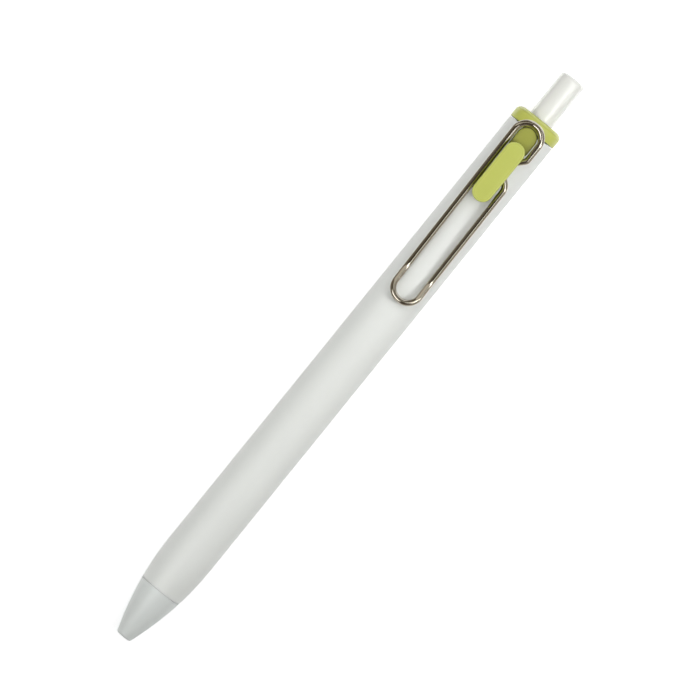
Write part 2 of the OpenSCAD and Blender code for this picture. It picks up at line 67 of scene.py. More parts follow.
MM = 0.001
FIT = 0.02 * MM  # room round a seated piece
THREAD_SOCKET = 7.3 * MM  # depth of the barrel's socket for the nose
SPRING_SEAT = 4.2 * MM  # distance of the return spring's seat in the nose from the tip
NOSE_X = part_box("nose_cone")[0].x
AXIS_Z = (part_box("crown_ring")[0].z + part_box("crown_ring")[1].z) / 2


def station(node, end):
    """Distance from the nose tip of a node's front (0) or rear (1) end."""
    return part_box(node)[end].x - NOSE_X


def radius(node):
    """Half the width of a node."""
    low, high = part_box(node)
    return (high.y - low.y) / 2


def linear(hex_colour):
    """An sRGB hex colour as linear red, green and blue."""
    value = np.array([int(hex_colour[i : i + 2], 16) for i in (0, 2, 4)]) / 255
    value = np.where(value <= 0.04045, value / 12.92, ((value + 0.055) / 1.055) ** 2.4)
    return tuple(float(v) for v in value)


def size(name, description, default):
    """A length that the user can change, in metres."""
    return FloatProperty(name=name, description=description, default=default, unit="LENGTH", precision=5)


def count(name, description, default):
    """A number of points that the user can change."""
    return IntProperty(name=name, description=description, default=default, min=12, max=360)


def colour(name, description, default):
    """A colour that the user can change, given as sRGB hex."""
    return FloatVectorProperty(
        name=name, description=description, default=linear(default), subtype="COLOR", min=0, max=1)


# ---------- what can be changed ----------


class PenShellSizes(bpy.types.PropertyGroup):
    """Sizes of the barrel, nose cone, crown ring and button."""

    barrel_radius: size("Barrel radius", "Outer radius of the straight barrel", radius("barrel"))
    seam: size("Nose seam", "Distance of the seam behind the nose cone from the tip", station("barrel", 0))
    barrel_rear: size("Barrel rear", "Distance of the barrel's rear edge from the tip",
                      station("barrel", 1))
    taper_length: size("Taper length", "Length over which the barrel narrows to the tip", 20.7 * MM)
    taper_drop: size("Taper drop", "How much the radius falls along the taper", 3.6 * MM)
    seam_break: size("Broken edge", "Rounding of the moulded edges at each seam", 0.11 * MM)
    nose_parting: size("Nose parting", "Open width of the seam behind the nose cone", 0.05 * MM)
    crown_parting: size("Crown parting", "Open width of the seam in front of the crown ring", 0.2 * MM)
    tip_rounding: size("Tip rounding", "Rounding of the nose's front edge", 0.5 * MM)
    tip_hole: size("Tip hole", "Radius of the hole that the refill's tip comes out of", 1.22 * MM)
    spring_bore: size("Spring bore", "Radius of the spring's bore in the nose", 2.45 * MM)
    tube_bore: size("Tube bore", "Radius of the nose's bore round the ink tube", 3.09 * MM)
    spigot_radius: size("Spigot radius", "Radius over the thread of the nose's spigot", 3.78 * MM)
    thread_pitch: size("Thread pitch", "Distance that the nose moves in one turn", 1.5 * MM)
    thread_depth: size("Thread depth", "Depth of the moulded thread", 0.26 * MM)
    socket_radius: size("Socket radius", "Radius of the barrel's socket for the nose", 3.8 * MM)
    main_bore: size("Main bore", "Radius of the barrel's long bore", 3.6 * MM)
    rear_bore: size("Rear bore", "Radius of the bore that seats the guide sleeve", 3.9 * MM)
    crown_radius: size("Crown radius", "Outer radius of the crown ring", radius("crown_ring"))
    crown_rear: size("Crown rear", "Distance of the crown ring's rear face from the tip",
                     station("crown_ring", 1))
    crown_front: size("Crown front", "Distance of the crown spigot's front end from the tip",
                      station("crown_ring", 0))
    crown_rounding: size("Crown rounding", "Rounding of the crown ring's rear edge", 1.2 * MM)
    button_radius: size("Button radius", "Radius of the push button", 2.65 * MM)
    button_end: size("Button end", "Distance of the button's face from the tip",
                     station("knock_button", 1))
    button_front: size("Button front", "Distance of the button's flange from the tip",
                       station("knock_button", 0))
    button_rounding: size("Button rounding", "Rounding of the button's end", 0.7 * MM)
    flange_radius: size("Flange radius", "Radius of the flange that stops the button", 3.1 * MM)
    flange_thickness: size("Flange thickness", "Thickness of the flange that stops the button", 1.0 * MM)
    sides: count("Sides", "Points round each turned surface", 144)


class PenClipSizes(bpy.types.PropertyGroup):
    """Sizes of the clip's wire and plate."""

    wire_radius: size("Wire radius", "Half the thickness of the clip's wire", 0.65 * MM)
    plate_rear: size("Plate rear", "Distance of the plate's rear end from the tip",
                     station("clip_plate", 1))
    plate_front: size("Plate front", "Distance of the plate's front end from the tip",
                      station("clip_plate", 0))
    plate_half_width: size("Plate half width", "Half the width of the plate", 2.1 * MM)
    plate_under: size("Plate underside", "Height of the plate's underside above the axis", 7.65 * MM)
    plate_top: size("Plate top", "Height of the plate's top above the axis", 8.95 * MM)
    plate_rounding: size("Plate rounding", "Rounding of the plate's upper edge", 0.27 * MM)
    plate_crown: size("Plate crown", "How much the plate's top falls towards its edge", 0.07 * MM)
    wire_sides: count("Wire sides", "Points round the wire", 40)


class PenFinishes(bpy.types.PropertyGroup):
    """Colours of the materials."""

    barrel: colour("Barrel", "Satin off-white ABS of the barrel", "DFE1DD")
    nose: colour("Nose cone", "Satin off-white ABS of the nose cone", "DADEDB")
    button: colour("Button", "Glossy off-white ABS of the button", "E4E5DF")
    crown: colour("Crown ring", "Lime ABS of the crown ring", "BDC25D")
    plate: colour("Plate", "Lime ABS of the clip's plate", "B7BE4E")
    # painted shade: the base's colour is a darker copy of the plate's lime, for the shade of the wire and
    # plate over it
    boss: colour("Boss", "Olive ABS of the clip's base", "979A2C")
    wire: colour("Wire", "Nickel plate on the clip's wire", "D0CABE")
    spring: colour("Spring", "Bare stainless spring wire", "C4C5C6")


# ---------- shapes ----------


def rounded(corners, steps=7, guard=0.02 * MM):
    """Path whose corners are arcs: a corner (point, radius) becomes the arc that touches both of its
    sides at radius * tan(turn / 2) from the corner, with a guard point just before and after it. The
    two ends of an open path have radius 0."""
    places = [np.array(c[:-1], float) for c in corners]
    parts = []
    for k, corner in enumerate(corners):
        bend = corner[-1]
        if bend <= 0:
            parts.append(places[k][None])
            continue
        arriving = places[k] - places[k - 1]
        leaving = places[(k + 1) % len(places)] - places[k]
        arriving, leaving = arriving / np.linalg.norm(arriving), leaving / np.linalg.norm(leaving)
        turn = np.arccos(np.clip(arriving @ leaving, -1, 1))
        reach = bend * np.tan(turn / 2)
        inward = leaving - (leaving @ arriving) * arriving
        inward /= np.linalg.norm(inward)
        centre = places[k] - arriving * reach + inward * bend
        angle = np.linspace(0, turn, steps + 1)[:, None]
        arc = centre + bend * (arriving * np.sin(angle) - inward * np.cos(angle))
        parts += [(places[k] - arriving * (reach + guard))[None], arc,
                  (places[k] + leaving * (reach + guard))[None]]
    return np.concatenate(parts)


def grid_faces(rows, columns, close_rows, close_columns):
    """Quads between neighbouring points of a grid; a closed way joins its last line to its first."""
    i, j = np.meshgrid(np.arange(rows - (not close_rows)), np.arange(columns - (not close_columns)),
                       indexing="ij")
    here, below = i * columns, (i + 1) % rows * columns
    after = (j + 1) % columns
    return np.stack([here + j, below + j, below + after, here + after], -1).reshape(-1, 4)


def lathe(profile, sides):
    """Surface of revolution about the pen's axis: the profile point (z, r) at angle a becomes
    (z, x = -r sin a, h = r cos a). Returns a grid of pen coordinates."""
    angle = np.linspace(0, 2 * np.pi, sides, endpoint=False)
    z, r = profile[:, :1], profile[:, 1:]
    return np.stack([z + 0 * angle, -r * np.sin(angle), r * np.cos(angle)], -1)


def pen_place(grid):
    """Pen coordinates (z, x, h) as places in the row frame."""
    return np.stack([NOSE_X + grid[..., 0], -grid[..., 1], AXIS_Z + grid[..., 2]], -1)


def sweep(path, across, section):
    """Section carried along a path: at every point it lies square to the path, with its first axis
    turned towards across."""
    run = np.gradient(path, axis=0)
    run /= np.linalg.norm(run, axis=1, keepdims=True)
    side = across - np.sum(across * run, axis=1, keepdims=True) * run
    side /= np.linalg.norm(side, axis=1, keepdims=True)
    up = np.cross(run, side)
    return path[:, None] + section[..., :1] * side[:, None] + section[..., 1:] * up[:, None]


def wire_along(path, across, wire_radius, sides):
    """Round wire along a path, closed at both ends by a small dome: the ring's radius is
    wire_radius * sin(b) while it moves in by wire_radius * (1 - cos(b)) / 3. Also returns each point's
    place on the straight wire before it was bent: how far along it, and where across it."""
    dome = np.linspace(0, np.pi / 2, 6)
    ends = [path[1] - path[0], path[-2] - path[-1]]
    ends = [v / np.linalg.norm(v) for v in ends]
    inset = wire_radius * (1 - np.cos(dome))[:, None] / 3
    path = np.concatenate([path[0] + ends[0] * inset, path[1:-1], (path[-1] + ends[1] * inset)[::-1]])
    if across.ndim == 1:
        across = np.broadcast_to(across, path.shape)
    else:
        across = np.concatenate([np.repeat(across[:1], len(dome), 0), across[1:-1],
                                 np.repeat(across[-1:], len(dome), 0)])
    share = np.ones(len(path))
    share[: len(dome)], share[-len(dome):] = np.sin(dome), np.sin(dome)[::-1]
    angle = np.linspace(0, 2 * np.pi, sides, endpoint=False)
    ring = wire_radius * np.stack([np.cos(angle), np.sin(angle)], -1)
    grid = sweep(path, across, share[:, None, None] * ring)
    length = np.concatenate([[0], np.cumsum(np.linalg.norm(np.diff(path, axis=0), axis=1))])
    straight = np.concatenate([
        np.broadcast_to(length[:, None, None], grid.shape[:2] + (1,)),
        np.broadcast_to(ring, grid.shape[:2] + (2,))], -1)
    return grid, straight


def slab_grid(z0, z1, middle, profile, end_steps=28, straight_steps=12):
    """Round-ended slab: every outline point is a point of the spine between the two end centres plus
    d times the outward normal there, and the profile gives the pairs (d, h) from the middle of the
    underside over the edge to the middle of the top."""
    half = profile[:, 0].max()
    turn = np.linspace(0, np.pi, end_steps + 1)
    run = np.linspace(0, 1, straight_steps + 1)[1:-1]
    low, high = z0 + half, z1 - half
    spine = np.concatenate([np.full(end_steps + 1, high), high + (low - high) * run,
                            np.full(end_steps + 1, low), low + (high - low) * run])
    normal_z = np.concatenate([np.sin(turn), 0 * run, -np.sin(turn), 0 * run])
    normal_x = np.concatenate([np.cos(turn), 0 * run - 1, -np.cos(turn), 0 * run + 1])
    d, h = profile[:, :1], profile[:, 1:]
    return np.stack([spine + d * normal_z, middle + d * normal_x, h + 0 * spine], -1)


def add_object(name, data):
    """A new object in the scene, at the origin."""
    thing = bpy.data.objects.new(name, data)
    bpy.context.scene.collection.objects.link(thing)
    return thing


def add_piece(name, grids, body, material, replaced=(), close_rows=True, attributes=None):
    """Makes one object of one or more grids of pen coordinates, joins its doubled points, and ties it
    to its body. close_rows joins each grid's last row to its first."""
    doubled, sharp_degrees = 0.0005 * MM, 50
    points = np.concatenate([pen_place(g).reshape(-1, 3) for g in grids])
    faces, start = [], 0
    for g in grids:
        faces.append(grid_faces(g.shape[0], g.shape[1], close_rows, True) + start)
        start += g.shape[0] * g.shape[1]
    mesh = bpy.data.meshes.new(name)
    mesh.from_pydata(points, [], np.concatenate(faces))
    for key, values in (attributes or {}).items():
        kind = "FLOAT_VECTOR" if values.shape[-1] == 3 else "FLOAT"
        layer = mesh.attributes.new(key, kind, "POINT")
        layer.data.foreach_set("vector" if kind == "FLOAT_VECTOR" else "value",
                               np.ascontiguousarray(values, np.float32).ravel())
    shell = bmesh.new()
    shell.from_mesh(mesh)
    bmesh.ops.remove_doubles(shell, verts=shell.verts, dist=doubled)
    bmesh.ops.recalc_face_normals(shell, faces=shell.faces)
    if shell.calc_volume(signed=True) < 0:
        bmesh.ops.reverse_faces(shell, faces=shell.faces)
    shell.to_mesh(mesh)
    shell.free()
    mesh.shade_smooth()
    mesh.set_sharp_from_angle(angle=np.radians(sharp_degrees))
    mesh.materials.append(material)
    piece = add_object(name, mesh)
    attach(piece, body)
    if replaced:
        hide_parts(*replaced)
    return piece


# ---------- materials ----------


def add_node(tree, kind, inputs=None, **settings):
    """Adds a node, sets its properties, and fills its sockets with values or links."""
    node = tree.nodes.new(kind)
    for key, value in settings.items():
        setattr(node, key, value)
    for socket, value in (inputs or {}).items():
        if isinstance(value, bpy.types.NodeSocket):
            tree.links.new(value, node.inputs[socket])
        else:
            node.inputs[socket].default_value = value
    return node


def start_material(name):
    """A new material's node tree, without its nodes."""
    material = bpy.data.materials.new(name)
    material.use_nodes = True
    material.node_tree.nodes.clear()
    return material, material.node_tree


def opaque(tint, factor=1.0):
    """A colour made darker or lighter by a factor, as a socket's value."""
    return tuple(min(1.0, c * factor) for c in tint) + (1.0,)


def finish_material(material, tree, relief, depth_mm, sockets):
    """Closes a material with a surface that has the given sockets and a relief of the given depth."""
    bump = add_node(tree, "ShaderNodeBump", {
        "Height": relief, "Strength": 1.0, "Distance": depth_mm * MM})
    shader = add_node(tree, "ShaderNodeBsdfPrincipled", {"Normal": bump.outputs["Normal"], **sockets})
    add_node(tree, "ShaderNodeOutputMaterial", {"Surface": shader.outputs["BSDF"]})
    return material


def moulded_plastic(name, tint, roughness, grain_mm, depth_mm, coat=0.0, edge_lightening=0.5, shade_reach_mm=0.0):
    """Injection-moulded ABS. The mould's texture gives a fine grain in the surface and a roughness that
    drifts a little along the flow. Edges are burnished smoother by handling and made paler, partly as a
    painted highlight on their rounding, and painted shade darkens open seams and what lies under an
    overhang."""
    # the second value lifts edges towards white, partly as painted highlight, and the third sets how dark
    # painted shade gets
    mottle, edge_whitening, shade_darkness, drift, smoothest = 0.02, 0.22, 0.15, 0.03, 0.12
    material, tree = start_material(name)
    place = add_node(tree, "ShaderNodeTexCoord").outputs["Object"]
    # flow marks: soft streaks a dozen millimetres long, drawn out along the pen
    drawn_out = add_node(tree, "ShaderNodeMapping", {"Vector": place, "Scale": (0.25, 1.0, 1.0)})
    flow = add_node(tree, "ShaderNodeTexNoise", {
        "Vector": drawn_out.outputs["Vector"], "Scale": 1 / (4 * MM), "Detail": 3.0, "Roughness": 0.55,
    }).outputs["Fac"]
    # mould grain: a real one is about 0.05 mm, drawn a few times coarser so that it shows
    grain = add_node(tree, "ShaderNodeTexNoise", {
        "Vector": place, "Scale": 1 / (grain_mm * MM), "Detail": 2.0, "Roughness": 0.6}).outputs["Fac"]
    # edges burnished by handling, in patches: smoother, and paler as a partly painted highlight
    edge_wear_and_highlight = add_node(tree, "ShaderNodeAttribute", attribute_name="edge_wear_and_highlight").outputs["Fac"]
    patchy = add_node(tree, "ShaderNodeMapRange", {
        "Value": flow, "From Min": 0.35, "From Max": 0.65, "To Min": 0.4 * edge_lightening, "To Max": edge_lightening})
    rubbed_and_highlit = add_node(tree, "ShaderNodeMath", {0: edge_wear_and_highlight, 1: patchy.outputs["Result"]},
                      operation="MULTIPLY")
    skin = add_node(tree, "ShaderNodeMix", {
        "Factor": flow, "A": opaque(tint, 1 - mottle), "B": opaque(tint, 1 + mottle)}, data_type="RGBA")
    # painted highlight and burnishing: edges are mixed towards white
    skin = add_node(tree, "ShaderNodeMix", {
        "Factor": rubbed_and_highlit.outputs[0], "A": skin.outputs["Result"],
        "B": tuple(c + (1 - c) * edge_whitening for c in tint) + (1.0,)}, data_type="RGBA")
    if shade_reach_mm:
        # painted shade: darker where the ambient occlusion finds something overhanging the piece
        open_share = add_node(tree, "ShaderNodeAmbientOcclusion", {"Distance": shade_reach_mm * MM}, samples=8)
        painted_shade = add_node(tree, "ShaderNodeMapRange", {
            "Value": open_share.outputs["AO"], "From Min": 0.25, "From Max": 0.65,
            "To Min": 0.9, "To Max": 0.0}).outputs["Result"]
    else:
        # painted shade: darker walls in an open seam, for the shade in its gap
        painted_shade = add_node(tree, "ShaderNodeAttribute", attribute_name="painted_shade").outputs["Fac"]
    # painted shade: the skin is mixed towards a far darker copy of its tint
    skin = add_node(tree, "ShaderNodeMix", {
        "Factor": painted_shade, "A": skin.outputs["Result"], "B": opaque(tint, shade_darkness)}, data_type="RGBA")
    rough = add_node(tree, "ShaderNodeMapRange", {
        "Value": flow, "From Min": 0.3, "From Max": 0.7,
        "To Min": roughness - drift, "To Max": roughness + drift})
    rough = add_node(tree, "ShaderNodeMath", {0: rough.outputs["Result"], 1: rubbed_and_highlit.outputs[0]},
                     operation="SUBTRACT")
    rough = add_node(tree, "ShaderNodeMath", {0: rough.outputs[0], 1: smoothest}, operation="MAXIMUM")
    return finish_material(material, tree, grain, depth_mm, {
        "Base Color": skin.outputs["Result"], "Roughness": rough.outputs[0], "IOR": 1.5,
        "Coat Weight": coat, "Coat Roughness": 0.08})


def drawn_metal(name, tint, roughness, line_mm, depth_mm, along="straight"):
    """Metal wire or turned metal. Drawing through a die leaves hair-fine lines along the wire, which
    spread each highlight slightly across it, and the plating is a little uneven. along names the
    attribute with the places on the straight wire; without it the lines run along the pen."""
    material, tree = start_material(name)
    if along:
        place = add_node(tree, "ShaderNodeAttribute", attribute_name=along).outputs["Vector"]
    else:
        place = add_node(tree, "ShaderNodeTexCoord").outputs["Object"]
    # die lines: a real one is a few hundredths of a millimetre wide, drawn coarser so that it shows
    drawn_out = add_node(tree, "ShaderNodeMapping", {"Vector": place, "Scale": (0.03, 1.0, 1.0)})
    lines = add_node(tree, "ShaderNodeTexNoise", {
        "Vector": drawn_out.outputs["Vector"], "Scale": 1 / (line_mm * MM), "Detail": 3.0, "Roughness": 0.6,
    }).outputs["Fac"]
    cloud = add_node(tree, "ShaderNodeTexNoise", {
        "Vector": place, "Scale": 1 / (1.6 * MM), "Detail": 3.0, "Roughness": 0.6})
    plating = add_node(tree, "ShaderNodeMix", {
        "Factor": cloud.outputs["Fac"], "A": opaque(tint, 0.9), "B": opaque(tint)}, data_type="RGBA")
    rough = add_node(tree, "ShaderNodeMapRange", {
        "Value": lines, "From Min": 0.3, "From Max": 0.7,
        "To Min": roughness * 0.7, "To Max": roughness * 1.4})
    return finish_material(material, tree, lines, depth_mm, {
        "Base Color": plating.outputs["Result"], "Metallic": 1.0, "Roughness": rough.outputs["Result"]})


def clear_plastic(name, tint, roughness, transmission):
    """Extruded polypropylene or grease: milky, so what lies behind it shows soft, with faint
    extrusion streaks along the pen."""
    material, tree = start_material(name)
    place = add_node(tree, "ShaderNodeTexCoord").outputs["Object"]
    drawn_out = add_node(tree, "ShaderNodeMapping", {"Vector": place, "Scale": (0.02, 1.0, 1.0)})
    streaks = add_node(tree, "ShaderNodeTexNoise", {
        "Vector": drawn_out.outputs["Vector"], "Scale": 1 / (0.5 * MM), "Detail": 2.0}).outputs["Fac"]
    rough = add_node(tree, "ShaderNodeMapRange", {
        "Value": streaks, "To Min": roughness * 0.7, "To Max": roughness * 1.3})
    return finish_material(material, tree, streaks, depth_mm=0.01, sockets={
        "Base Color": opaque(tint), "Transmission Weight": transmission, "IOR": 1.49,
        "Roughness": rough.outputs["Result"]})


# ---------- pieces ----------


def taper_radius(z, shell):
    """Outer radius on the taper: barrel radius - drop * ((length - z) / length)^2, a parabola that
    runs tangent into the straight barrel."""
    short = np.maximum(shell.taper_length - z, 0) / shell.taper_length
    return shell.barrel_radius - shell.taper_drop * short ** 2


def taper_run(z0, z1, shell, steps):
    """Profile points along the taper, each a corner without rounding."""
    z = np.linspace(z0, z1, steps)
    return [(a, b, 0.0) for a, b in zip(z, taper_radius(z, shell))]


def edge_wear_and_highlight_of(profile, sides, *edges):
    """Share of burnishing by handling, and of painted highlight on the rounded edges, at each profile
    point: 1 at the given edges, and exp(-(gap / reach)^2) away from them."""
    reach = 0.35 * MM
    gap = np.min(np.linalg.norm(profile[:, None] - np.array(edges)[None], axis=2), axis=1)
    return np.repeat(np.exp(-((gap / reach) ** 2)), sides)[:, None]


def seam_painted_shade(profile, sides, seam, outer):
    """Share of painted shade at each profile point, for the shade in an open seam: near the seam it grows
    evenly from 0 at the outer radius to 1 at a small depth under it."""
    full_depth, reach = 0.15 * MM, 0.5 * MM
    share = np.clip((outer - profile[:, 1]) / full_depth, 0, 1)
    near = np.abs(profile[:, 0] - seam) < reach
    return np.repeat(share * near, sides)[:, None]


class PEN_OT_barrel(bpy.types.Operator):
    """Build the satin barrel: a revolved shell whose taper runs tangent into the straight part."""

    bl_idname = "pen.barrel"
    bl_label = "Barrel"

    def execute(self, context):
        s, finish = context.scene.pen_shell, context.scene.pen_finishes
        sleeve_seat = station("cam_sleeve", 0)
        front, rear, edge = s.seam, s.barrel_rear - s.crown_parting / 2, s.seam_break
        corners = (
            [(front, s.socket_radius, edge), (front, taper_radius(front, s), edge)]
            + taper_run(front + 3 * edge, s.taper_length, s, 30)
            + [(z, s.barrel_radius, 0.0) for z in np.linspace(s.taper_length, rear, 9)[1:-1]]
            + [(rear, s.barrel_radius, edge), (rear, s.rear_bore, edge), (sleeve_seat, s.rear_bore, 0.0),
               (sleeve_seat, s.main_bore, 0.0), (front + THREAD_SOCKET, s.main_bore, 0.0),
               (front + THREAD_SOCKET, s.socket_radius, 0.0)])
        profile = rounded(corners)
        edge_wear_and_highlight = edge_wear_and_highlight_of(profile, s.sides, (front, taper_radius(front, s)))
        # painted shade in the open seam before the crown ring
        painted_shade = seam_painted_shade(profile, s.sides, rear, s.barrel_radius)
        shell = add_piece("barrel_shell", [lathe(profile, s.sides)], "barrel",
                          moulded_plastic("satin_moulded_abs_barrel", finish.barrel, roughness=0.42,
                                          grain_mm=0.22, depth_mm=0.004),
                          ["barrel"], attributes={"edge_wear_and_highlight": edge_wear_and_highlight, "painted_shade": painted_shade})
        self.cut_slot(shell, station("clip_base", 0) - FIT, rear + 1 * MM)
        return {"FINISHED"}

    def cut_slot(self, shell, start, stop):
        """Cuts the clip base's slot with a T-shaped bar from start to stop: narrow through the wall, and
        wider under it, where its shoulder follows h = sqrt(under^2 - x^2)."""
        narrow, wide, under, bottom, above = 1.9 * MM, 2.65 * MM, 4.47 * MM, 2.7 * MM, 6.2 * MM
        x = np.concatenate([[wide], np.linspace(wide, narrow, 6), [narrow]])
        h = np.sqrt(under ** 2 - x ** 2)
        h[0], h[-1] = bottom, above
        section = np.stack([np.concatenate([x, -x[::-1]]), np.concatenate([h, h[::-1]])], -1)
        ends = [np.insert(section, 0, z, axis=1) for z in (start, stop)]
        corners = len(section)
        around = np.arange(corners)
        after = (around + 1) % corners
        sides = np.stack([around, after, after + corners, around + corners], -1)
        mesh = bpy.data.meshes.new("slot_bar")
        mesh.from_pydata(pen_place(np.concatenate(ends)), [],
                         sides.tolist() + [around[::-1].tolist(), (around + corners).tolist()])
        bar = add_object("slot_bar", mesh)
        cut = shell.modifiers.new("slot", "BOOLEAN")
        cut.operation, cut.solver, cut.object = "DIFFERENCE", "EXACT", bar
        graph = bpy.context.evaluated_depsgraph_get()
        whole, shell.data = shell.data, bpy.data.meshes.new_from_object(shell.evaluated_get(graph))
        shell.modifiers.clear()
        bpy.data.meshes.remove(whole)
        bpy.data.meshes.remove(mesh)


class PEN_OT_nose_cone(bpy.types.Operator):
    """Build the nose cone: a revolved shell, with the moulded thread on its spigot."""

    bl_idname = "pen.nose_cone"
    bl_label = "Nose cone"

    def execute(self, context):
        s, finish = context.scene.pen_shell, context.scene.pen_finishes
        seam, edge, tip = s.seam - s.nose_parting, s.seam_break, s.tip_rounding
        end, step = station("nose_cone", 1), 10.6 * MM
        mouth_edge, foot_edge, end_edge = 0.12 * MM, 0.05 * MM, 0.3 * MM
        lean = taper_radius(tip, s) - taper_radius(0.0, s)
        corners = (
            [(0.0, s.tip_hole, mouth_edge), (0.0, taper_radius(0.0, s) + lean * 0.1, tip)]
            + taper_run(tip * 1.6, seam - 3 * edge, s, 26)
            + [(seam, taper_radius(seam, s), edge), (seam, s.spigot_radius, foot_edge)]
            + [(z, s.spigot_radius, 0.0) for z in np.linspace(seam + 0.3 * MM, end - 0.5 * MM, 72)]
            + [(end, s.spigot_radius, end_edge), (end, s.tube_bore, edge), (step, s.tube_bore, 0.0),
               (step, s.spring_bore, 0.0), (SPRING_SEAT, s.spring_bore, 0.0),
               (SPRING_SEAT, s.tip_hole, 0.0)])
        profile = rounded(corners)
        grid = self.threaded(lathe(profile, s.sides), s, seam + 0.5 * MM, end - 0.6 * MM)
        edge_wear_and_highlight = edge_wear_and_highlight_of(profile, s.sides, (0.0, taper_radius(tip, s)), (seam, taper_radius(seam, s)))
        add_piece("nose_cone_shell", [grid], "nose",
                  moulded_plastic("satin_moulded_abs_nose", finish.nose, roughness=0.4, grain_mm=0.22,
                                  depth_mm=0.004),
                  ["nose_cone"], attributes={"edge_wear_and_highlight": edge_wear_and_highlight})
        return {"FINISHED"}

    def threaded(self, grid, s, start, stop):
        """Cuts a right-hand thread: the radius falls by depth * sqrt((1 + cos(2 pi z / pitch + a)) / 2),
        with the depth faded in and out at the thread's ends."""
        run_out = 0.5 * MM
        z, r = grid[..., 0], np.hypot(grid[..., 1], grid[..., 2])
        angle = np.arctan2(-grid[..., 1], grid[..., 2])
        fade = np.clip((z - start) / run_out, 0, 1) * np.clip((stop - z) / run_out, 0, 1)
        outside = r > s.spigot_radius - 0.01 * MM
        groove = (1 + np.cos(2 * np.pi * z / s.thread_pitch + angle)) / 2
        share = 1 - np.where(outside, fade, 0) * s.thread_depth * np.sqrt(groove) / r
        return np.stack([z, grid[..., 1] * share, grid[..., 2] * share], -1)


class PEN_OT_crown_ring(bpy.types.Operator):
    """Build the crown ring: a revolved ring with a rounded rear edge and its spigot in the barrel."""

    bl_idname = "pen.crown_ring"
    bl_label = "Crown ring"

    def execute(self, context):
        s, finish = context.scene.pen_shell, context.scene.pen_finishes
        rear, shoulder, edge = s.crown_rear, s.barrel_rear + s.crown_parting / 2, s.seam_break
        button_play, flange_play, hole_edge, spigot_edge = 0.07 * MM, 0.09 * MM, 0.14 * MM, 0.1 * MM
        hole, wide, spigot = s.button_radius + button_play, s.flange_radius + flange_play, s.rear_bore - FIT
        stop = station("knock_button", 0) + s.flange_thickness
        profile = rounded([
            (s.crown_front, wide, 0.0), (s.crown_front, spigot, spigot_edge), (shoulder, spigot, 0.0),
            (shoulder, s.crown_radius, edge), (rear, s.crown_radius, s.crown_rounding),
            (rear, hole, hole_edge), (stop, hole, 0.0), (stop, wide, 0.0)], steps=10)
        edge_wear_and_highlight = edge_wear_and_highlight_of(profile, s.sides, (rear - 0.2 * MM, s.crown_radius - 0.2 * MM),
                       (rear, hole + 0.1 * MM))
        # painted shade in the open seam in front of the ring
        painted_shade = seam_painted_shade(profile, s.sides, shoulder, s.crown_radius)
        add_piece("crown_ring_cap", [lathe(profile, s.sides)], "barrel",
                  moulded_plastic("semi_gloss_lime_abs_crown", finish.crown, roughness=0.3, grain_mm=0.18,
                                  depth_mm=0.002),
                  ["crown_ring"], attributes={"edge_wear_and_highlight": edge_wear_and_highlight, "painted_shade": painted_shade})
        return {"FINISHED"}


class PEN_OT_push_button(bpy.types.Operator):
    """Build the glossy push button: a revolved cup with a rounded end and a stop flange."""

    bl_idname = "pen.push_button"
    bl_label = "Push button"

    def execute(self, context):
        s, finish = context.scene.pen_shell, context.scene.pen_finishes
        front, end, bore, depth, flange_edge = s.button_front, s.button_end, 1.75 * MM, 9.8 * MM, 0.1 * MM
        stop = front + s.flange_thickness
        across = np.linspace(1, 0, 6)[1:, None] * (s.button_radius - s.button_rounding)
        face = np.concatenate([end + 0 * across, across], 1)
        outside = rounded([
            (front, bore, 0.0), (front, s.flange_radius, flange_edge), (stop, s.flange_radius, flange_edge),
            (stop, s.button_radius, 0.0), (end, s.button_radius, s.button_rounding),
            (end, 0.0, 0.0)], steps=12)
        profile = np.concatenate([[[front + depth, 0.0], [front + depth, bore]], outside[:-1], face])
        edge_wear_and_highlight = edge_wear_and_highlight_of(profile, s.sides, (end, s.button_radius - 0.2 * MM))
        add_piece("push_button", [lathe(profile, s.sides)], "button",
                  moulded_plastic("glossy_moulded_abs_button", finish.button, roughness=0.2, grain_mm=0.3,
                                  depth_mm=0.0006, coat=1.0),
                  ["knock_button"], close_rows=False, attributes={"edge_wear_and_highlight": edge_wear_and_highlight})
        return {"FINISHED"}


